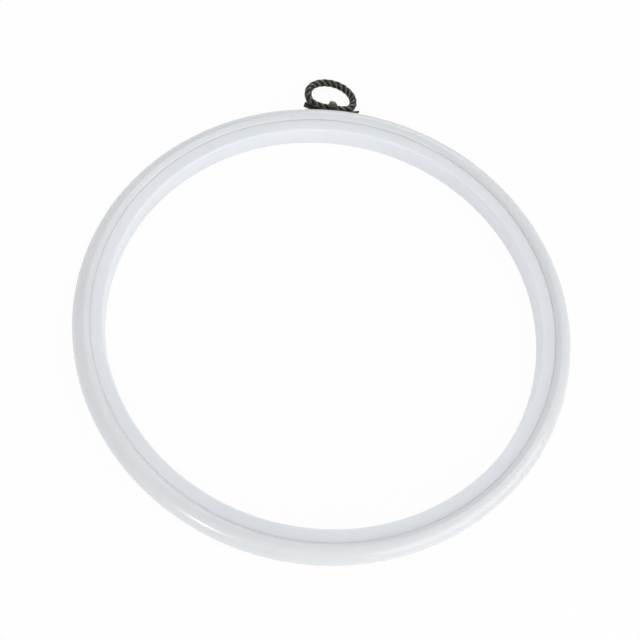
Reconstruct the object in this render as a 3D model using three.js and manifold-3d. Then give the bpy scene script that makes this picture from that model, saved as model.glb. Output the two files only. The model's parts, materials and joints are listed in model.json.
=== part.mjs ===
// Embroidery hoop: a rigid inner ring with a back lip, a flexible outer ring that
// snaps over it, and a small metal hanger pinned to the outer ring's edge.
// Millimetres, +Z up. The hoop lies on its back, the hanger points along +Y, and the
// origin is the centre of the footprint on the table.
import * as THREE from "three";
import { mergeVertices } from "three/addons/utils/BufferGeometryUtils.js";
import Module from "manifold-3d";

// Rings
const OPENING_DIAMETER = 177.8; // the working opening, 7 in
const INNER_RING_WALL = 5.1; // radial thickness of the inner ring
const OUTER_RING_WIDTH = 7.2; // radial width of the outer ring's moulding
const OUTER_RING_DEPTH = 12.7; // front to back
const FRONT_RECESS = 2.2; // the inner ring's face lies this far below the outer ring's crest
const FIT_GAP = 0.3; // clearance between pieces that touch
const LIP_REACH = 2; // the inner ring's back lip, beyond its wall
const LIP_THICKNESS = 1.6;
const BACK_LAND = 1; // flat part of the outer ring's back
const CREST_EASE = 1.5; // rounding of the outer ring's inner front edge
const INNER_EASE = 0.8; // rounding of the inner ring's edges

// Hanger plate, a strip with a boss round its slot and wings bowed away from the rim
const HANGER_GAP = 0.16; // clearance between the rim, the plate and the pin
const PLATE_LENGTH = 25;
const PLATE_THICKNESS = 0.6;
const PLATE_WIDTH_MIDDLE = 5;
const PLATE_WIDTH_END = 2.8;
const PLATE_WING_START = 0.3; // share of the half length where the wings start
const PLATE_BOW = 2; // how far the wing tips stand out from the middle
const PLATE_EASE = 0.12; // broken edge

// Hanger pin, one strip bent into an oval eye with two legs
const STRIP_THICKNESS = 0.42;
const LEG_WIDTH = 2;
const LEG_GAP = 0.2; // between the two legs
const BAR_CLEARANCE = 0.17; // between the ring's bar and the eye's lower corner, where it rests
const EYE_TRAVEL = 1.8; // how far the bar can move up and down in the eye
const EYE_CROWN_RISE = 0.26; // how far the crown bulges beyond the corners
const EYE_BASE_WIDTH = 4.6; // the strip is widest beside the ring's bar
const EYE_CROWN_WIDTH = 2;
const SHOULDER_RADIUS = 0.5; // bend from leg to eye
const CLINCH_RADIUS = 0.5; // bend behind the wall
const CLINCH_REACH = 3.1; // half the span of the clinched legs
const POCKET_DEPTH = 2.5; // recess in the outer ring's bore for the clinched legs
const POCKET_MARGIN = 0.4;

// Hanging ring, an oval of twisted rope with its flatter side through the eye
const RING_WIDTH = 20.9; // centreline, along the plate
const RING_LENGTH = 16.2; // centreline, away from the plate
const FLAT_SIDE_SHARE = 0.45; // share of the length on the flatter side of the widest line
const FLAT_SIDE_HANDLE = 0.78; // length of the flatter side's curve handles, as a share of their side
const ROUND_SIDE_HANDLE = 0.552; // the same for the round side, which makes it half an ellipse
const ROPE_RADIUS = 1.55;
const STRAND_RELIEF = 0.12;
const STRANDS = 3;
const STRAND_MARKS = 20; // strands counted once round the ring

// How the hanger lies
const PIN_HEIGHT_SHARE = 0.465; // of the outer ring's depth, from the back
const SWIVEL_AT_REST = 7.6; // degrees, left end raised
const REST_CLEARANCE = 0.1; // under the ring's far side

// Facets
const HOOP_SEGMENTS = 96;
const MOULDING_STEPS = 4; // half the steps in each quarter of the outer ring's outline
const EASE_STEPS = 2; // half the steps in each rounded edge of the inner ring
const BEND_STEPS = 4; // half the steps in each bend of the pin
const ROPE_STEPS = 100;
const ROPE_SIDES = 12;
const PLATE_STEPS = 24;
const HOLE_SEGMENTS = 24;
const POCKET_SEGMENTS = 32;

const openingRadius = OPENING_DIAMETER / 2;
const wallRadius = openingRadius + INNER_RING_WALL;
const boreRadius = wallRadius + FIT_GAP;
const rimRadius = boreRadius + OUTER_RING_WIDTH;
const lipRadius = wallRadius + LIP_REACH;
const rebateRadius = lipRadius + FIT_GAP;
const rebateHeight = LIP_THICKNESS + FIT_GAP;
const innerRingDepth = OUTER_RING_DEPTH - FRONT_RECESS;
const pinHeight = OUTER_RING_DEPTH * PIN_HEIGHT_SHARE;

// Distances out from the rim's surface, along the pin
const plateInner = HANGER_GAP;
const plateOuter = plateInner + PLATE_THICKNESS;
const legOffset = (LEG_GAP + STRIP_THICKNESS) / 2;
const ropeOuterRadius = ROPE_RADIUS + STRAND_RELIEF;
const eyeCorner = ropeOuterRadius + BAR_CLEARANCE + STRIP_THICKNESS / 2;
const eyeSide = eyeCorner + EYE_TRAVEL / 2;
const eyeFoot = plateOuter + HANGER_GAP + STRIP_THICKNESS / 2;
const barCentre = eyeFoot + eyeCorner;
const eyeCrown = barCentre + eyeCorner + EYE_CROWN_RISE;
const clinchCentre = POCKET_DEPTH - OUTER_RING_WIDTH - FIT_GAP - STRIP_THICKNESS / 2;

// The ring's droop, so that its lowest strand lies on the table
const swivel = THREE.MathUtils.degToRad(SWIVEL_AT_REST);
const flatSide = RING_LENGTH * FLAT_SIDE_SHARE;
const roundSide = RING_LENGTH - flatSide;
const barSag = EYE_TRAVEL / 2;
const tiltDrop = (RING_WIDTH / 2) * Math.sin(swivel);
const roomBelow = pinHeight - barSag * Math.cos(swivel) - ropeOuterRadius - REST_CLEARANCE;
const roomLeft = roomBelow ** 2 - tiltDrop ** 2;
const flatRoom = roomBelow * flatSide;
const slope = roomLeft / (flatRoom + Math.sqrt(flatRoom ** 2 + (roundSide ** 2 - flatSide ** 2) * roomLeft));
const droop = Math.asin(slope / Math.cos(swivel));

const reach = rimRadius + barCentre + RING_LENGTH * Math.cos(droop) + ropeOuterRadius;
const hoopCentreY = (rimRadius - reach) / 2;

const wasm = await Module();
wasm.setup();

function solidFrom(geometry) {
  const bare = geometry.clone();
  bare.deleteAttribute("normal");
  bare.deleteAttribute("uv");
  const merged = mergeVertices(bare);
  return new wasm.Manifold(
    new wasm.Mesh({
      numProp: 3,
      vertProperties: merged.getAttribute("position").array,
      triVerts: new Uint32Array(merged.index.array),
    }),
  );
}

function geometryFrom(solid) {
  const mesh = solid.getMesh();
  const geometry = new THREE.BufferGeometry();
  geometry.setAttribute("position", new THREE.BufferAttribute(mesh.vertProperties, 3));
  geometry.setIndex(new THREE.BufferAttribute(mesh.triVerts, 1));
  geometry.computeVertexNormals();
  return geometry;
}

// A closed outline in radius and height, turned once about +Z.
function revolve(outline, steps) {
  const points = outline.getPoints(steps);
  points.push(points[0].clone());
  return new THREE.LatheGeometry(points, HOOP_SEGMENTS).rotateX(Math.PI / 2);
}

// A surface through rings of points, either joined end to start or capped at both ends.
function skin(rings, joined) {
  const count = rings[0].length;
  const points = rings.flat();
  const index = [];
  const spans = joined ? rings.length : rings.length - 1;
  for (let i = 0; i < spans; i++) {
    const a = i * count;
    const b = ((i + 1) % rings.length) * count;
    for (let j = 0; j < count; j++) {
      const k = (j + 1) % count;
      index.push(a + j, b + j, b + k);
      index.push(a + j, b + k, a + k);
    }
  }
  if (!joined) {
    const last = (rings.length - 1) * count;
    for (let j = 1; j < count - 1; j++) {
      index.push(0, j, j + 1);
      index.push(last, last + j + 1, last + j);
    }
  }
  const geometry = new THREE.BufferGeometry().setFromPoints(points);
  geometry.setIndex(index);
  geometry.computeVertexNormals();
  return geometry;
}

// Eight corners of a rectangle with broken edges, as offsets along two directions.
function stripSection(width, thickness, ease) {
  const w = width / 2;
  const t = thickness / 2;
  return [
    [w, t - ease],
    [w - ease, t],
    [ease - w, t],
    [-w, t - ease],
    [-w, ease - t],
    [ease - w, -t],
    [w - ease, -t],
    [w, ease - t],
  ];
}

// Half-round outside, eased inner front edge, flat back land and a rebate for the lip.
function outerRingOutline() {
  const mid = OUTER_RING_DEPTH / 2;
  const landRadius = rebateRadius + BACK_LAND;
  const easeAngle = Math.acos(CREST_EASE / OUTER_RING_WIDTH);
  const outline = new THREE.Path();
  outline.moveTo(rebateRadius, 0);
  outline.lineTo(landRadius, 0);
  outline.absellipse(landRadius, mid, rimRadius - landRadius, mid, -Math.PI / 2, 0);
  outline.absellipse(boreRadius, mid, OUTER_RING_WIDTH, mid, 0, easeAngle);
  outline.quadraticCurveTo(boreRadius, OUTER_RING_DEPTH, boreRadius, OUTER_RING_DEPTH - CREST_EASE);
  outline.lineTo(boreRadius, rebateHeight);
  outline.lineTo(rebateRadius, rebateHeight);
  return outline;
}

// The outer ring has a hole through its wall for the pin's legs, and a round pocket
// behind it where they are clinched clear of the inner ring.
function outerRing() {
  const legsAcross = 2 * STRIP_THICKNESS + LEG_GAP;
  const holeRadius = Math.hypot(legsAcross, LEG_WIDTH) / 2 + FIT_GAP;
  const pocketRadius = Math.hypot(CLINCH_REACH, LEG_WIDTH / 2) + POCKET_MARGIN;
  const overrun = OUTER_RING_WIDTH / 2;
  const holeLength = OUTER_RING_WIDTH + 2 * overrun;
  const hole = new THREE.CylinderGeometry(holeRadius, holeRadius, holeLength, HOLE_SEGMENTS);
  hole.translate(0, boreRadius + OUTER_RING_WIDTH / 2, pinHeight);
  const pocketLength = POCKET_DEPTH + overrun;
  const pocket = new THREE.CylinderGeometry(pocketRadius, pocketRadius, pocketLength, POCKET_SEGMENTS);
  pocket.translate(0, boreRadius + (POCKET_DEPTH - overrun) / 2, pinHeight);
  const ring = solidFrom(revolve(outerRingOutline(), MOULDING_STEPS));
  return geometryFrom(ring.subtract(solidFrom(hole)).subtract(solidFrom(pocket)));
}

function innerRing() {
  const ease = INNER_EASE;
  const inside = openingRadius + ease;
  const outline = new THREE.Path();
  outline.moveTo(inside, 0);
  outline.lineTo(lipRadius, 0);
  outline.lineTo(lipRadius, LIP_THICKNESS);
  outline.lineTo(wallRadius, LIP_THICKNESS);
  outline.absarc(wallRadius - ease, innerRingDepth - ease, ease, 0, Math.PI / 2);
  outline.absarc(inside, innerRingDepth - ease, ease, Math.PI / 2, Math.PI);
  outline.absarc(inside, ease, ease, Math.PI, 1.5 * Math.PI);
  return revolve(outline, EASE_STEPS);
}

// The plate narrows from its middle into two wings and has a slot for the pin's legs.
function hangerPlate() {
  const half = PLATE_LENGTH / 2;
  const rings = [];
  for (let i = 0; i <= PLATE_STEPS; i++) {
    const share = (2 * i) / PLATE_STEPS - 1;
    const boss = 1 - THREE.MathUtils.smoothstep(Math.abs(share), 0, PLATE_WING_START);
    const width = PLATE_WIDTH_END + (PLATE_WIDTH_MIDDLE - PLATE_WIDTH_END) * boss;
    const middle = plateInner + PLATE_THICKNESS / 2 + PLATE_BOW * share * share;
    const section = stripSection(width, PLATE_THICKNESS, PLATE_EASE);
    rings.push(section.map(([z, y]) => new THREE.Vector3(share * half, middle + y, z)));
  }
  const slotLength = LEG_WIDTH + 2 * FIT_GAP;
  const slotWidth = 2 * STRIP_THICKNESS + LEG_GAP + 2 * FIT_GAP;
  const slot = new THREE.BoxGeometry(slotLength, 4 * PLATE_THICKNESS, slotWidth);
  slot.translate(0, plateInner + PLATE_THICKNESS / 2, 0);
  return geometryFrom(solidFrom(skin(rings)).subtract(solidFrom(slot)));
}

// The pin's centreline seen from the side: x is out along the pin, y across it.
function pinPath() {
  const bendCentre = clinchCentre + CLINCH_RADIUS;
  const bendAcross = legOffset + CLINCH_RADIUS;
  const shoulderCentre = eyeFoot - SHOULDER_RADIUS;
  const shoulderAcross = legOffset + SHOULDER_RADIUS;
  const cornerAcross = eyeSide - eyeCorner;
  const quarter = Math.PI / 2;
  const path = new THREE.Path();
  path.moveTo(clinchCentre, CLINCH_REACH);
  path.absarc(bendCentre, bendAcross, CLINCH_RADIUS, 2 * quarter, 3 * quarter);
  path.absarc(shoulderCentre, shoulderAcross, SHOULDER_RADIUS, -quarter, 0);
  path.absarc(barCentre, cornerAcross, eyeCorner, 2 * quarter, quarter, true);
  path.absellipse(barCentre, 0, eyeCrown - barCentre, eyeSide, quarter, -quarter, true);
  path.absarc(barCentre, -cornerAcross, eyeCorner, -quarter, -2 * quarter, true);
  path.absarc(shoulderCentre, -shoulderAcross, SHOULDER_RADIUS, 0, quarter);
  path.absarc(bendCentre, -bendAcross, CLINCH_RADIUS, quarter, 2 * quarter);
  path.lineTo(clinchCentre, -CLINCH_REACH);
  return path;
}

// The strip's width: narrow legs, a broad base beside the bar and a narrow crown.
function stripWidth(out) {
  const widen = THREE.MathUtils.smoothstep(out, eyeFoot - SHOULDER_RADIUS, barCentre);
  const narrow = THREE.MathUtils.smoothstep(out, barCentre, eyeCrown);
  return LEG_WIDTH + (EYE_BASE_WIDTH - LEG_WIDTH) * widen + (EYE_CROWN_WIDTH - EYE_BASE_WIDTH) * narrow;
}

function hangerPin() {
  const points = pinPath().getPoints(BEND_STEPS);
  const rings = points.map((point, i) => {
    const before = points[Math.max(i - 1, 0)];
    const after = points[Math.min(i + 1, points.length - 1)];
    const along = after.clone().sub(before).normalize();
    const section = stripSection(stripWidth(point.x), STRIP_THICKNESS, STRIP_THICKNESS / 5);
    return section.map(([w, t]) => new THREE.Vector3(w, point.x - along.y * t, point.y + along.x * t));
  });
  return skin(rings);
}

// The ring's centreline starts in the middle of its flatter side, the bar in the eye.
function ringPath() {
  const across = RING_WIDTH / 2;
  const flatWide = across * FLAT_SIDE_HANDLE;
  const flatLong = flatSide * FLAT_SIDE_HANDLE;
  const roundWide = across * ROUND_SIDE_HANDLE;
  const roundLong = roundSide * ROUND_SIDE_HANDLE;
  const path = new THREE.Path();
  path.moveTo(0, 0);
  path.bezierCurveTo(flatWide, 0, across, flatSide - flatLong, across, flatSide);
  path.bezierCurveTo(across, flatSide + roundLong, roundWide, RING_LENGTH, 0, RING_LENGTH);
  path.bezierCurveTo(-roundWide, RING_LENGTH, -across, flatSide + roundLong, -across, flatSide);
  path.bezierCurveTo(-across, flatSide - flatLong, -flatWide, 0, 0, 0);
  return path;
}

// The strands twist evenly along the centreline.
function hangingRing() {
  const path = ringPath();
  const rings = [];
  for (let i = 0; i < ROPE_STEPS; i++) {
    const share = i / ROPE_STEPS;
    const lay = (STRAND_MARKS / STRANDS) * 2 * Math.PI * share;
    const place = path.getPointAt(share);
    const along = path.getTangentAt(share);
    const centre = new THREE.Vector3(place.x, place.y, 0);
    const outward = new THREE.Vector3(along.y, -along.x, 0);
    const ring = [];
    for (let j = 0; j < ROPE_SIDES; j++) {
      const angle = (2 * Math.PI * j) / ROPE_SIDES;
      const radius = ROPE_RADIUS + STRAND_RELIEF * Math.cos(STRANDS * (angle - lay));
      const point = centre.clone().addScaledVector(outward, radius * Math.cos(angle));
      point.z = radius * Math.sin(angle);
      ring.push(point);
    }
    rings.push(ring);
  }
  return skin(rings, true);
}

function finish(color, roughness, metalness) {
  return new THREE.MeshStandardMaterial({ color, roughness, metalness });
}

function piece(name, geometry, material) {
  const mesh = new THREE.Mesh(geometry, material);
  mesh.name = name;
  return mesh;
}

const vinyl = finish(0xe9edf1, 0.3, 0);
const plastic = finish(0xe6eaee, 0.4, 0);
const blackenedMetal = finish(0x34342c, 0.45, 0.8);
const wornBronze = finish(0x6e665c, 0.4, 0.8);

const swingingRing = new THREE.Group();
swingingRing.position.set(0, barCentre, -barSag);
swingingRing.rotation.x = -droop;
swingingRing.add(piece("hanging_ring", hangingRing(), blackenedMetal));

const hanger = new THREE.Group();
hanger.position.set(0, rimRadius, pinHeight);
hanger.rotation.y = swivel;
hanger.add(piece("hanger_plate", hangerPlate(), blackenedMetal));
hanger.add(piece("hanger_pin", hangerPin(), wornBronze));
hanger.add(swingingRing);

const hoop = new THREE.Group();
hoop.position.y = hoopCentreY;
hoop.add(piece("inner_ring", innerRing(), plastic));
hoop.add(piece("outer_ring", outerRing(), vinyl));
hoop.add(hanger);

const part = new THREE.Group();
part.add(hoop);

export default part;
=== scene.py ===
import json
import math

import bpy
from mathutils import Matrix, Vector


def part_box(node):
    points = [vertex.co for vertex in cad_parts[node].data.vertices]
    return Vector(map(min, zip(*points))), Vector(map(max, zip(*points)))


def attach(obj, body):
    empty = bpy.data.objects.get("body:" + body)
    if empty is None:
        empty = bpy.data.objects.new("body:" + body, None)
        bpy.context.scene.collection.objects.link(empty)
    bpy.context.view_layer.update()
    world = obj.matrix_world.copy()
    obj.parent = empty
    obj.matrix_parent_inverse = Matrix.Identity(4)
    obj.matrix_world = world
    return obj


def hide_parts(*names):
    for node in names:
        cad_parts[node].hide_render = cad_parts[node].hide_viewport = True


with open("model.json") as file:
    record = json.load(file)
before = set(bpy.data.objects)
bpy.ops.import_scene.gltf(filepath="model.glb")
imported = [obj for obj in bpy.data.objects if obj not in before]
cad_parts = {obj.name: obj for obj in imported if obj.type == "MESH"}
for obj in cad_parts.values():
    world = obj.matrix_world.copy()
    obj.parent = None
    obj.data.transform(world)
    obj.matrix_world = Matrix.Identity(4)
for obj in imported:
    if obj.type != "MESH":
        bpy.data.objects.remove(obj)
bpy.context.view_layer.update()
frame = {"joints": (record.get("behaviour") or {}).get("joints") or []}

# Sizes, in metres
MM = 0.001
TINY = 0.001 * MM
CORNER_REACH = 0.02 * MM
ROPE_WELD = 0.01 * MM
OPENING_RADIUS = 88.9 * MM
WALL_RADIUS = 94.29 * MM
BORE_RADIUS = 94.3 * MM
REBATE_RADIUS = 96.3 * MM
REBATE_HEIGHT = 1.9 * MM
LIP_RADIUS = 96 * MM
LIP_THICKNESS = 1.6 * MM
BACK_LAND = 1 * MM
RING_DEPTH = 12.7 * MM
INNER_DEPTH = 10.5 * MM
CREST_EASE = 2.15 * MM
CREST_CLEAR = 1.02 * CREST_EASE
CREST_PROFILE = 0.34
INNER_EASE = 0.8 * MM
SHARP_EASE = 0.25 * MM
FIT_GAP = 0.3 * MM

HANGER_GAP = 0.16 * MM
PLATE_LENGTH = 25 * MM
PLATE_THICKNESS = 0.6 * MM
PLATE_WIDTH_MIDDLE = 5 * MM
PLATE_WIDTH_END = 3.2 * MM
PLATE_WING_START = 0.3
PLATE_BOW = 2 * MM
PLATE_EASE = 0.12 * MM

STRIP_THICKNESS = 0.42 * MM
LEG_WIDTH = 2 * MM
LEG_GAP = 0.2 * MM
EYE_CORNER = 2.05 * MM
EYE_TRAVEL = 1.8 * MM
EYE_CROWN_RISE = 0.26 * MM
EYE_BASE_WIDTH = 4.6 * MM
EYE_CROWN_WIDTH = 2 * MM
BEND_RADIUS = 0.5 * MM
CLINCH_REACH = 3.1 * MM
POCKET_DEPTH = 2.5 * MM
POCKET_MARGIN = 0.4 * MM

LOOP_WIDTH = 20.9 * MM
LOOP_FLAT_SIDE = 7.29 * MM
LOOP_ROUND_SIDE = 8.91 * MM
FLAT_SIDE_HANDLE = 0.78
ROUND_SIDE_HANDLE = 0.552
LOOP_DROOP = math.radians(9.68)
ROPE_RADIUS = 1.69 * MM
STRAND_RADIUS = 1.3 * MM
STRANDS = 3
STRAND_MARKS = 20

# Places along the pin, out from the rim, and across it
EYE_FOOT = 2 * HANGER_GAP + PLATE_THICKNESS + STRIP_THICKNESS / 2
BAR_CENTRE = EYE_FOOT + EYE_CORNER
EYE_CROWN = BAR_CENTRE + EYE_CORNER + EYE_CROWN_RISE
EYE_SIDE = EYE_CORNER + EYE_TRAVEL / 2
EYE_WIDEST = EYE_FOOT + EYE_CORNER / 3

# Steps round the curved forms
HOOP_STEPS = 288
MOULDING_POINTS = 96
BEND_STEPS = 10
PLATE_STEPS = 48
SECTION_POINTS = 36
ROPE_STEPS = 480

# Places read from the frame
outer_low, outer_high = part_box("outer_ring")
RIM_RADIUS = (outer_high.x - outer_low.x) / 2
HOOP_CENTRE = Vector((0, outer_low.y + RIM_RADIUS, 0))
joints = {joint["name"]: joint for joint in frame["joints"]}
PIN_POINT = Vector(joints["hanger_swivel"]["pos_m"])
BAR_POINT = Vector(joints["ring_swing"]["pos_m"])
BAR_AXIS = Vector(joints["ring_swing"]["axis"])
SWIVEL = math.atan2(-BAR_AXIS.z, BAR_AXIS.x)


# Tools for shaping
def deselect():
    if bpy.context.object and bpy.context.object.mode != "OBJECT":
        bpy.ops.object.mode_set(mode="OBJECT")
    bpy.ops.object.select_all(action="DESELECT")


def take(piece):
    """Makes the piece the only selected object and the active one."""
    deselect()
    piece.select_set(True)
    bpy.context.view_layer.objects.active = piece


def select_mesh():
    bpy.ops.mesh.select_all(action="SELECT")


def pick(test):
    """Selects the vertices whose place passes the test, and the edges and faces between them."""
    bpy.ops.object.mode_set(mode="OBJECT")
    mesh = bpy.context.object.data
    chosen = [bool(test(v.co)) for v in mesh.vertices]
    for vertex, on in zip(mesh.vertices, chosen):
        vertex.select = on
    for edge in mesh.edges:
        edge.select = all(chosen[i] for i in edge.vertices)
    for face in mesh.polygons:
        face.select = all(chosen[i] for i in face.vertices)
    bpy.ops.object.mode_set(mode="EDIT")


def extrude(offset):
    bpy.ops.mesh.extrude_region_move(TRANSFORM_OT_translate={"value": offset})


def name_piece(name):
    bpy.ops.object.mode_set(mode="OBJECT")
    piece = bpy.context.object
    piece.name = name
    piece.data.name = name
    return piece


def apply_transform():
    bpy.ops.object.transform_apply(location=True, rotation=True, scale=True)


def put(piece, matrix):
    take(piece)
    piece.matrix_world = matrix @ piece.matrix_world
    apply_transform()


def face_outward():
    select_mesh()
    bpy.ops.mesh.normals_make_consistent(inside=False)


def start_plane(location, rotation, width, height):
    """Adds a plane of this size and opens it in edit mode, all selected."""
    deselect()
    bpy.ops.mesh.primitive_plane_add(size=1, location=location, rotation=rotation)
    bpy.context.object.scale = (width, height, 1)
    apply_transform()
    bpy.ops.object.mode_set(mode="EDIT")
    select_mesh()


def smooth(piece, angle=35):
    take(piece)
    bpy.ops.object.shade_smooth_by_angle(angle=math.radians(angle))


def cut(piece, cutter):
    """Takes the cutter's volume out of the piece and removes the cutter."""
    take(piece)
    modifier = piece.modifiers.new("cut", "BOOLEAN")
    modifier.operation = "DIFFERENCE"
    modifier.solver = "EXACT"
    modifier.object = cutter
    bpy.ops.object.modifier_apply(modifier=modifier.name)
    bpy.data.objects.remove(cutter)


def drill(radius, near, far):
    """A cylinder along +Y at the pin's axis, from near to far, measured out from the rim."""
    deselect()
    bpy.ops.mesh.primitive_cylinder_add(
        vertices=64,
        radius=radius,
        depth=far - near,
        location=PIN_POINT + Vector((0, (near + far) / 2, 0)),
        rotation=(math.pi / 2, 0, 0),
    )
    return bpy.context.object


def spin_round(steps):
    """Turns the outline once about the hoop's axis and closes the seam."""
    select_mesh()
    bpy.ops.mesh.delete(type="ONLY_FACE")
    select_mesh()
    bpy.ops.mesh.spin(steps=steps, angle=2 * math.pi, center=HOOP_CENTRE, axis=(0, 0, 1))
    select_mesh()
    bpy.ops.mesh.remove_doubles(threshold=TINY)
    face_outward()


def round_corner(x, z, ease, segments, profile=0.5):
    pick(lambda co: abs(co.x - x) < CORNER_REACH and abs(co.z - z) < CORNER_REACH)
    bpy.ops.mesh.bevel(offset=ease, segments=segments, affect="VERTICES", profile=profile)


# Outer ring
def outer_ring():
    middle = RING_DEPTH / 2
    land_radius = REBATE_RADIUS + BACK_LAND
    deselect()
    bpy.ops.mesh.primitive_circle_add(
        vertices=MOULDING_POINTS,
        radius=middle,
        location=(land_radius, HOOP_CENTRE.y, middle),
        rotation=(math.pi / 2, 0, 0),
    )
    apply_transform()
    centre = (land_radius, HOOP_CENTRE.y, middle)
    rim = (RIM_RADIUS, HOOP_CENTRE.y, middle)
    bpy.ops.object.mode_set(mode="EDIT")
    select_mesh()
    back_width = RIM_RADIUS - land_radius
    front_width = RIM_RADIUS - BORE_RADIUS
    bpy.ops.transform.resize(value=(back_width / middle, 1, 1), center_override=centre)
    pick(lambda co: co.z > middle + TINY)
    bpy.ops.transform.resize(value=(front_width / back_width, 1, 1), center_override=rim)
    pick(lambda co: co.z > middle + TINY and co.x < BORE_RADIUS + CREST_CLEAR)
    bpy.ops.mesh.delete(type="VERT")
    pick(lambda co: co.z <= middle + TINY and co.x < land_radius - TINY)
    bpy.ops.mesh.delete(type="VERT")
    pick(lambda co: co.z < TINY)
    extrude((REBATE_RADIUS - land_radius, 0, 0))
    extrude((0, 0, REBATE_HEIGHT))
    extrude((BORE_RADIUS - REBATE_RADIUS, 0, 0))
    extrude((0, 0, RING_DEPTH - REBATE_HEIGHT))
    select_mesh()
    bpy.ops.mesh.edge_face_add()
    round_corner(BORE_RADIUS, RING_DEPTH, CREST_EASE, 10, CREST_PROFILE)
    round_corner(BORE_RADIUS, REBATE_HEIGHT, SHARP_EASE, 2)
    round_corner(REBATE_RADIUS, 0, SHARP_EASE, 2)
    spin_round(HOOP_STEPS)
    piece = name_piece("outer_ring_moulding")
    legs_across = 2 * STRIP_THICKNESS + LEG_GAP
    hole_radius = math.hypot(legs_across, LEG_WIDTH) / 2 + FIT_GAP
    pocket_radius = math.hypot(CLINCH_REACH, LEG_WIDTH / 2) + POCKET_MARGIN
    width = RIM_RADIUS - BORE_RADIUS
    cut(piece, drill(hole_radius, -2 * width, width))
    cut(piece, drill(pocket_radius, -1.5 * width, POCKET_DEPTH - width))
    smooth(piece)
    return piece


# Inner ring
def inner_ring():
    wall = WALL_RADIUS - OPENING_RADIUS
    middle = (OPENING_RADIUS + wall / 2, HOOP_CENTRE.y, INNER_DEPTH / 2)
    start_plane(middle, (math.pi / 2, 0, 0), wall, INNER_DEPTH)
    bpy.ops.mesh.bisect(plane_co=(0, 0, LIP_THICKNESS), plane_no=(0, 0, 1))
    pick(lambda co: co.x > WALL_RADIUS - TINY and co.z < LIP_THICKNESS + TINY)
    extrude((LIP_RADIUS - WALL_RADIUS, 0, 0))
    select_mesh()
    bpy.ops.mesh.dissolve_limited(angle_limit=math.radians(1))
    round_corner(OPENING_RADIUS, INNER_DEPTH, INNER_EASE, 8)
    round_corner(OPENING_RADIUS, 0, INNER_EASE, 8)
    round_corner(LIP_RADIUS, LIP_THICKNESS, SHARP_EASE, 3)
    spin_round(HOOP_STEPS)
    piece = name_piece("inner_ring_moulding")
    smooth(piece)
    return piece


# Hanger plate
def hanger_place():
    return Matrix.Translation(PIN_POINT) @ Matrix.Rotation(SWIVEL, 4, "Y")


def smoothstep(x, low, high):
    t = min(max((x - low) / (high - low), 0), 1)
    return t * t * (3 - 2 * t)


def plate_width(share):
    boss = 1 - smoothstep(abs(share), 0, PLATE_WING_START)
    return PLATE_WIDTH_END + (PLATE_WIDTH_MIDDLE - PLATE_WIDTH_END) * boss


def hanger_plate():
    half = PLATE_LENGTH / 2
    middle = HANGER_GAP + PLATE_THICKNESS / 2
    end = (-half, middle + PLATE_BOW, 0)
    start_plane(end, (0, math.pi / 2, 0), PLATE_WIDTH_END, PLATE_THICKNESS)
    for i in range(PLATE_STEPS):
        share = 2 * i / PLATE_STEPS - 1
        next_share = 2 * (i + 1) / PLATE_STEPS - 1
        rise = PLATE_BOW * (next_share**2 - share**2)
        extrude((PLATE_LENGTH / PLATE_STEPS, rise, 0))
        widen = plate_width(next_share) / plate_width(share)
        bpy.ops.transform.resize(value=(1, 1, widen), center_override=(0, 0, 0))
    face_outward()
    piece = name_piece("bowed_hanger_plate")
    deselect()
    bpy.ops.mesh.primitive_cube_add(size=1, location=(0, middle, 0))
    slot = bpy.context.object
    slot.scale = (
        LEG_WIDTH + 2 * FIT_GAP,
        4 * PLATE_THICKNESS,
        2 * STRIP_THICKNESS + LEG_GAP + 2 * FIT_GAP,
    )
    apply_transform()
    cut(piece, slot)
    soften(piece, PLATE_EASE, 2)
    put(piece, hanger_place())
    smooth(piece, 40)
    return piece


def soften(piece, width, segments):
    """Breaks the piece's sharp edges."""
    take(piece)
    modifier = piece.modifiers.new("edges", "BEVEL")
    modifier.width = width
    modifier.segments = segments
    modifier.limit_method = "ANGLE"
    modifier.angle_limit = math.radians(40)
    bpy.ops.object.modifier_apply(modifier=modifier.name)


def mark_wear_and_painted_light(piece, wear):
    """Stores at each vertex a mask from 0 to 1 that lightens the metal: partly how much its place is
    rubbed in use, partly painted light and shade.
    """
    wear_and_painted_light = piece.data.attributes.new("wear_and_painted_light", "FLOAT", "POINT")
    for vertex in piece.data.vertices:
        wear_and_painted_light.data[vertex.index].value = wear(vertex.co)


# Hanger pin
def arc(centre, radius, start, end, rise=None):
    """Points on an arc, in quarter turns: out along the pin, and across it."""
    steps = max(2, round(abs(end - start) * BEND_STEPS))
    across = rise or radius
    turns = [(start + (end - start) * i / steps) * math.pi / 2 for i in range(steps + 1)]
    return [(centre[0] + radius * math.cos(t), centre[1] + across * math.sin(t)) for t in turns]


def pin_path():
    leg_offset = (LEG_GAP + STRIP_THICKNESS) / 2
    bore = BORE_RADIUS - RIM_RADIUS
    clinch = bore + POCKET_DEPTH - FIT_GAP - STRIP_THICKNESS / 2
    bend = (clinch + BEND_RADIUS, leg_offset + BEND_RADIUS)
    shoulder = (EYE_FOOT - BEND_RADIUS, leg_offset + BEND_RADIUS)
    corner = (BAR_CENTRE, EYE_SIDE - EYE_CORNER)
    half = [(clinch, CLINCH_REACH)]
    half += arc(bend, BEND_RADIUS, 2, 3)
    half += arc(shoulder, BEND_RADIUS, -1, 0)
    half += arc(corner, EYE_CORNER, 2, 1)
    half += arc((BAR_CENTRE, 0), EYE_CROWN - BAR_CENTRE, 1, 0, EYE_SIDE)[1:]
    return half + [(out, -across) for out, across in reversed(half[:-1])]


def strip_width(out):
    widen = smoothstep(out, EYE_FOOT - BEND_RADIUS, EYE_WIDEST)
    narrow = smoothstep(out, EYE_WIDEST, EYE_CROWN - EYE_CORNER / 2)
    return LEG_WIDTH + (EYE_BASE_WIDTH - LEG_WIDTH) * widen + (EYE_CROWN_WIDTH - EYE_BASE_WIDTH) * narrow


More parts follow.
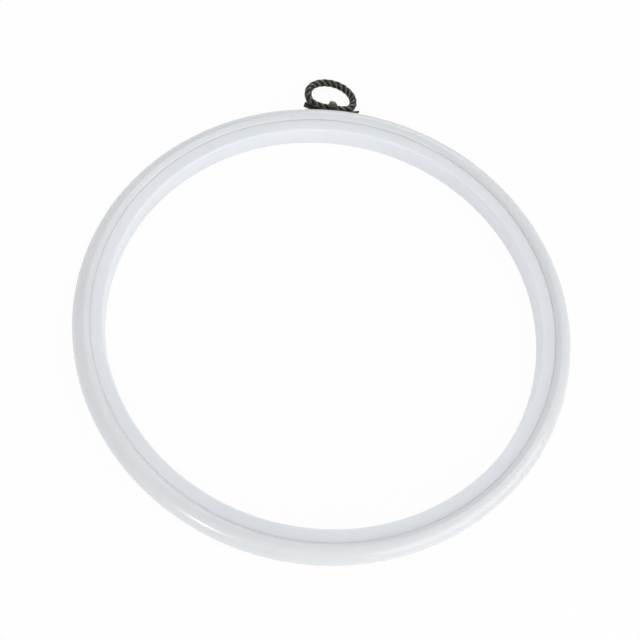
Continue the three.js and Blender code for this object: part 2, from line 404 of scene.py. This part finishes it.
def hanger_pin():
    path = pin_path()
    headings = []
    for i in range(len(path)):
        before = path[max(i - 1, 0)]
        after = path[min(i + 1, len(path) - 1)]
        headings.append(math.atan2(after[1] - before[1], after[0] - before[0]))
    start_plane((0, path[0][0], path[0][1]), (0, 0, 0), LEG_WIDTH, STRIP_THICKNESS)
    for i in range(1, len(path)):
        extrude((0, path[i][0] - path[i - 1][0], path[i][1] - path[i - 1][1]))
        here = (0, path[i][0], path[i][1])
        turn = headings[i] - headings[i - 1]
        turn = (turn + math.pi) % (2 * math.pi) - math.pi
        bpy.ops.transform.rotate(value=-turn, orient_axis="X", center_override=here)
        widen = strip_width(path[i][0]) / strip_width(path[i - 1][0])
        bpy.ops.transform.resize(value=(widen, 1, 1), center_override=here)
    face_outward()
    piece = name_piece("split_strip_pin")
    soften(piece, 0.2 * STRIP_THICKNESS, 2)
    # Lighter towards the eye's crown: partly rubbed wear, partly a painted highlight on the top of the
    # eye.
    mark_wear_and_painted_light(piece, lambda co: smoothstep(co.y, EYE_FOOT, EYE_CROWN))
    put(piece, hanger_place())
    smooth(piece, 40)
    return piece


# Hanging ring
def strand_reach(angle):
    """Distance from the rope's middle to its surface, in the direction of angle."""
    part = 2 * math.pi / STRANDS
    off = (angle + part / 2) % part - part / 2
    offset = ROPE_RADIUS - STRAND_RADIUS
    return offset * math.cos(off) + math.sqrt(STRAND_RADIUS**2 - (offset * math.sin(off)) ** 2)


def loop_oval():
    """The ring's centreline: a circle with one side drawn out round and the other flattened."""
    across = LOOP_WIDTH / 2
    deselect()
    bpy.ops.curve.primitive_bezier_circle_add(radius=across)
    oval = bpy.context.object
    flat_stretch = FLAT_SIDE_HANDLE / ROUND_SIDE_HANDLE
    for point in oval.data.splines[0].bezier_points:
        point.handle_left_type = "FREE"
        point.handle_right_type = "FREE"
        on_flat_side = point.co.y < -TINY
        on_round_side = point.co.y > TINY
        handles = [point.handle_left.copy(), point.handle_right.copy()]
        for handle in handles:
            if on_flat_side:
                handle.x *= flat_stretch
                handle.y = -LOOP_FLAT_SIDE
            elif on_round_side:
                handle.y = LOOP_ROUND_SIDE
            elif handle.y < 0:
                handle.y *= flat_stretch * LOOP_FLAT_SIDE / across
            else:
                handle.y *= LOOP_ROUND_SIDE / across
        if on_flat_side:
            point.co.y = -LOOP_FLAT_SIDE
        if on_round_side:
            point.co.y = LOOP_ROUND_SIDE
        point.handle_left = handles[0]
        point.handle_right = handles[1]
    oval.data.resolution_u = 96
    oval.data.use_stretch = True
    oval.data.use_deform_bounds = True
    return oval


def hanging_ring():
    oval = loop_oval()
    length = oval.data.splines[0].calc_length()
    deselect()
    bpy.ops.mesh.primitive_circle_add(vertices=SECTION_POINTS, radius=ROPE_RADIUS)
    bpy.ops.object.mode_set(mode="EDIT")
    step = 2 * math.pi / SECTION_POINTS
    for i in range(SECTION_POINTS // STRANDS):
        size = strand_reach(i * step) / ROPE_RADIUS
        group = [(i + k * SECTION_POINTS // STRANDS) * step for k in range(STRANDS)]
        pick(lambda co: any(math.cos(math.atan2(co.y, co.x) - a) > 0.9999 for a in group))
        bpy.ops.transform.resize(value=(size, size, 1), center_override=(0, 0, 0))
    piece = name_piece("twisted_ring")
    twist = piece.modifiers.new("twist", "SCREW")
    twist.axis = "Z"
    twist.angle = 2 * math.pi * STRAND_MARKS / STRANDS
    twist.screw_offset = length
    twist.steps = ROPE_STEPS
    twist.render_steps = ROPE_STEPS
    twist.use_smooth_shade = True
    bpy.ops.object.modifier_apply(modifier=twist.name)
    groove = strand_reach(math.pi / STRANDS)
    # Lighter on the strand crests, darker in the grooves: partly wear on the crests, partly a painted
    # highlight on the crests and painted shade in the grooves.
    mark_wear_and_painted_light(piece, lambda co: smoothstep(math.hypot(co.x, co.y), groove, ROPE_RADIUS))
    piece.rotation_euler = (0, math.pi / 2, 0)
    apply_transform()
    bend = piece.modifiers.new("bend", "CURVE")
    bend.object = oval
    bend.deform_axis = "POS_X"
    bpy.ops.object.modifier_apply(modifier=bend.name)
    bpy.data.objects.remove(oval)
    bpy.ops.object.mode_set(mode="EDIT")
    select_mesh()
    bpy.ops.mesh.remove_doubles(threshold=ROPE_WELD)
    face_outward()
    bpy.ops.object.mode_set(mode="OBJECT")
    place = Matrix.Translation(BAR_POINT) @ Matrix.Rotation(SWIVEL, 4, "Y")
    place = place @ Matrix.Rotation(-LOOP_DROOP, 4, "X")
    put(piece, place @ Matrix.Translation((0, LOOP_FLAT_SIDE, 0)))
    smooth(piece, 60)
    return piece


# Materials: the noise's scales, per metre, and how milky and rippled the white plastics are
CLOUD_SCALE = 22
HAZE_SCALE = 60
RIPPLE_SCALE = 900
WEAR_SCALE = 1400
MILKY_WEIGHT = 0.8
MILKY_REACH = 0.8 * MM
RELIEF_HEIGHT = 0.05 * MM
RIPPLE_STRENGTH = 0.05
WEAR_STRENGTH = 0.25


def new_material(name):
    material = bpy.data.materials.new(name)
    material.use_nodes = True
    return material, material.node_tree.nodes, material.node_tree.links


def add_noise(nodes, links, scale, detail):
    place = nodes.new("ShaderNodeTexCoord")
    noise = nodes.new("ShaderNodeTexNoise")
    noise.inputs["Scale"].default_value = scale
    noise.inputs["Detail"].default_value = detail
    links.new(place.outputs["Object"], noise.inputs["Vector"])
    return noise


def add_ramp(nodes, links, source, stops):
    ramp = nodes.new("ShaderNodeValToRGB")
    ramp.color_ramp.elements[0].position = stops[0][0]
    ramp.color_ramp.elements[0].color = (*stops[0][1], 1)
    ramp.color_ramp.elements[1].position = stops[1][0]
    ramp.color_ramp.elements[1].color = (*stops[1][1], 1)
    links.new(source, ramp.inputs["Fac"])
    return ramp


def add_range(nodes, links, source, low, high):
    spread = nodes.new("ShaderNodeMapRange")
    spread.inputs["To Min"].default_value = low
    spread.inputs["To Max"].default_value = high
    links.new(source, spread.inputs["Value"])
    return spread


def add_bump(nodes, links, source, strength):
    bump = nodes.new("ShaderNodeBump")
    bump.inputs["Strength"].default_value = strength
    bump.inputs["Distance"].default_value = RELIEF_HEIGHT
    links.new(source, bump.inputs["Height"])
    return bump


def moulded_white(name, low_colour, high_colour, low_rough, high_rough):
    """White moulded plastic: slightly milky, with faint clouds, fine ripple and uneven gloss."""
    material, nodes, links = new_material(name)
    shader = nodes["Principled BSDF"]
    cloud = add_noise(nodes, links, CLOUD_SCALE, 3)
    colour = add_ramp(nodes, links, cloud.outputs["Fac"], [(0.35, low_colour), (0.65, high_colour)])
    links.new(colour.outputs["Color"], shader.inputs["Base Color"])
    shader.inputs["Subsurface Weight"].default_value = MILKY_WEIGHT
    shader.inputs["Subsurface Radius"].default_value = (1, 1, 1)
    shader.inputs["Subsurface Scale"].default_value = MILKY_REACH
    haze = add_noise(nodes, links, HAZE_SCALE, 4)
    rough = add_range(nodes, links, haze.outputs["Fac"], low_rough, high_rough)
    links.new(rough.outputs["Result"], shader.inputs["Roughness"])
    ripple = add_noise(nodes, links, RIPPLE_SCALE, 2)
    bump = add_bump(nodes, links, ripple.outputs["Fac"], RIPPLE_STRENGTH)
    links.new(bump.outputs["Normal"], shader.inputs["Normal"])
    return material


def antique_metal(name, dark, worn, wear_and_painted_light):
    """Blackened metal whose finish is worn through in patches, most where the per-vertex mask is high:
    rubbed wear there, together with painted highlight and painted shade.
    """
    material, nodes, links = new_material(name)
    shader = nodes["Principled BSDF"]
    shader.inputs["Metallic"].default_value = 0.9
    patches = add_noise(nodes, links, WEAR_SCALE, 4)
    wear = patches.outputs["Fac"]
    if wear_and_painted_light:
        # The per-vertex mask brightens the metal: partly rubbed wear, partly a painted highlight on the
        # pin's crown and painted shade in the rope's grooves.
        place = nodes.new("ShaderNodeAttribute")
        place.attribute_name = "wear_and_painted_light"
        both = nodes.new("ShaderNodeMath")
        both.operation = "MULTIPLY"
        links.new(place.outputs["Fac"], both.inputs[0])
        links.new(wear, both.inputs[1])
        wear = both.outputs["Value"]
    colour = add_ramp(nodes, links, wear, [(0.3, dark), (0.7, worn)])
    links.new(colour.outputs["Color"], shader.inputs["Base Color"])
    rough = add_range(nodes, links, patches.outputs["Fac"], 0.5, 0.28)
    links.new(rough.outputs["Result"], shader.inputs["Roughness"])
    bump = add_bump(nodes, links, patches.outputs["Fac"], WEAR_STRENGTH)
    links.new(bump.outputs["Normal"], shader.inputs["Normal"])
    return material


def dress(piece, material, body, node):
    piece.data.materials.clear()
    piece.data.materials.append(material)
    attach(piece, body)
    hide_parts(node)


# Camera at the photograph's angle
TARGET_HEIGHT = 6.35 * MM
CAMERA_DISTANCE = 456.75 * MM
CAMERA_ELEVATION = math.radians(63.59)
CAMERA_AZIMUTH = math.radians(-11.2)
CAMERA_ROLL = math.radians(13.91)
FRAME_WIDTH = 640
FOCAL_PIXELS = 1121.2
TARGET_PIXEL = (326.3, 316.9)


def add_camera():
    camera = bpy.data.objects.new("camera", bpy.data.cameras.new("camera"))
    bpy.context.scene.collection.objects.link(camera)
    a = CAMERA_AZIMUTH
    e = CAMERA_ELEVATION
    right = Vector((math.cos(a), math.sin(a), 0))
    back = Vector((math.sin(a) * math.cos(e), -math.cos(a) * math.cos(e), math.sin(e)))
    up = back.cross(right)
    rolled_right = right * math.cos(CAMERA_ROLL) + up * math.sin(CAMERA_ROLL)
    rolled_up = back.cross(rolled_right)
    place = HOOP_CENTRE + Vector((0, 0, TARGET_HEIGHT)) + back * CAMERA_DISTANCE
    turn = Matrix((rolled_right, rolled_up, back)).transposed().to_4x4()
    camera.matrix_world = Matrix.Translation(place) @ turn
    camera.data.sensor_width = 36
    camera.data.lens = FOCAL_PIXELS / FRAME_WIDTH * camera.data.sensor_width
    middle = FRAME_WIDTH / 2
    camera.data.shift_x = (middle - TARGET_PIXEL[0]) / FRAME_WIDTH
    camera.data.shift_y = (TARGET_PIXEL[1] - middle) / FRAME_WIDTH
    camera.data.clip_start = 0.01
    bpy.context.scene.camera = camera


# Floor, lights and background
FLOOR_WHITE = 0.94
SKY_LIGHT = 0.65
LAMP_DISTANCE = 0.95


def add_seen(nodes, links, share):
    """The share for rays from the camera, off a glossy surface or through glass, and 0 for others."""
    path = nodes.new("ShaderNodeLightPath")
    seen = path.outputs["Is Camera Ray"]
    for ray in ("Is Glossy Ray", "Is Transmission Ray"):
        either = nodes.new("ShaderNodeMath")
        either.operation = "MAXIMUM"
        links.new(seen, either.inputs[0])
        links.new(path.outputs[ray], either.inputs[1])
        seen = either.outputs["Value"]
    return add_range(nodes, links, seen, 0, share).outputs["Result"]


def add_floor():
    deselect()
    bpy.ops.mesh.primitive_plane_add(size=4, location=(0, 0, 0))
    floor = bpy.context.object
    floor.name = "floor"
    material, nodes, links = new_material("pale_floor")
    shader = nodes["Principled BSDF"]
    shader.inputs["Base Color"].default_value = (0.9, 0.9, 0.9, 1)
    shader.inputs["Roughness"].default_value = 0.9
    glow = nodes.new("ShaderNodeEmission")
    mix = nodes.new("ShaderNodeMixShader")
    links.new(add_seen(nodes, links, FLOOR_WHITE), mix.inputs["Fac"])
    links.new(shader.outputs["BSDF"], mix.inputs[1])
    links.new(glow.outputs["Emission"], mix.inputs[2])
    links.new(mix.outputs["Shader"], nodes["Material Output"].inputs["Surface"])
    floor.data.materials.append(material)


def add_world():
    world = bpy.data.worlds.new("studio")
    bpy.context.scene.world = world
    world.use_nodes = True
    nodes = world.node_tree.nodes
    links = world.node_tree.links
    seen = add_seen(nodes, links, 1)
    strength = add_range(nodes, links, seen, SKY_LIGHT, 1).outputs["Result"]
    sky = nodes["Background"]
    sky.inputs["Color"].default_value = (1, 1, 1, 1)
    links.new(strength, sky.inputs["Strength"])


def add_area(name, azimuth, elevation, width, height, power):
    """A lamp turned towards the hoop's centre, at a bearing in degrees from +X and up."""
    lamp = bpy.data.objects.new(name, bpy.data.lights.new(name, "AREA"))
    bpy.context.scene.collection.objects.link(lamp)
    lamp.data.shape = "RECTANGLE"
    lamp.data.size = width
    lamp.data.size_y = height
    lamp.data.energy = power
    a = math.radians(azimuth)
    e = math.radians(elevation)
    away = Vector((math.cos(a) * math.cos(e), math.sin(a) * math.cos(e), math.sin(e)))
    lamp.location = HOOP_CENTRE + away * LAMP_DISTANCE
    lamp.rotation_euler = away.to_track_quat("Z", "Y").to_euler()


bpy.context.scene.view_settings.view_transform = "Standard"
add_camera()
add_world()
add_floor()
add_area("low_key", 323, 14, 1.1, 0.5, 3.7)
add_area("high_key", 350, 55, 0.5, 0.5, 0.6)
add_area("near_fill", 260, 30, 0.5, 0.5, 0.6)
add_area("far_fill", 75, 25, 0.5, 0.5, 1.7)
add_area("left_fill", 185, 55, 0.5, 0.5, 1)
add_area("streak", 237, 12.5, 0.14, 0.05, 1.2)

outer_white = moulded_white("soft_white_vinyl", (0.66, 0.677, 0.692), (0.685, 0.702, 0.718), 0.18, 0.25)
inner_white = moulded_white("rigid_white_plastic", (0.73, 0.753, 0.785), (0.755, 0.778, 0.81), 0.3, 0.42)
plate_black = antique_metal("blackened_plate", (0.004, 0.004, 0.003), (0.06, 0.061, 0.052), False)
# The pin's mask is partly rubbed wear, partly a painted highlight towards the eye's crown.
pin_bronze = antique_metal("worn_bronze_with_painted_highlight", (0.07, 0.065, 0.055), (0.3, 0.275, 0.235), True)
# The ring's mask is partly wear on the strand crests, partly a painted highlight on the crests and
# painted shade in the grooves.
ring_black = antique_metal("blackened_rope", (0.011, 0.012, 0.009), (0.15, 0.154, 0.13), True)

dress(outer_ring(), outer_white, "outer_ring", "outer_ring")
dress(inner_ring(), inner_white, "inner_ring", "inner_ring")
dress(hanger_plate(), plate_black, "hanger", "hanger_plate")
dress(hanger_pin(), pin_bronze, "hanger", "hanger_pin")
dress(hanging_ring(), ring_black, "hanging_ring", "hanging_ring")

deselect()
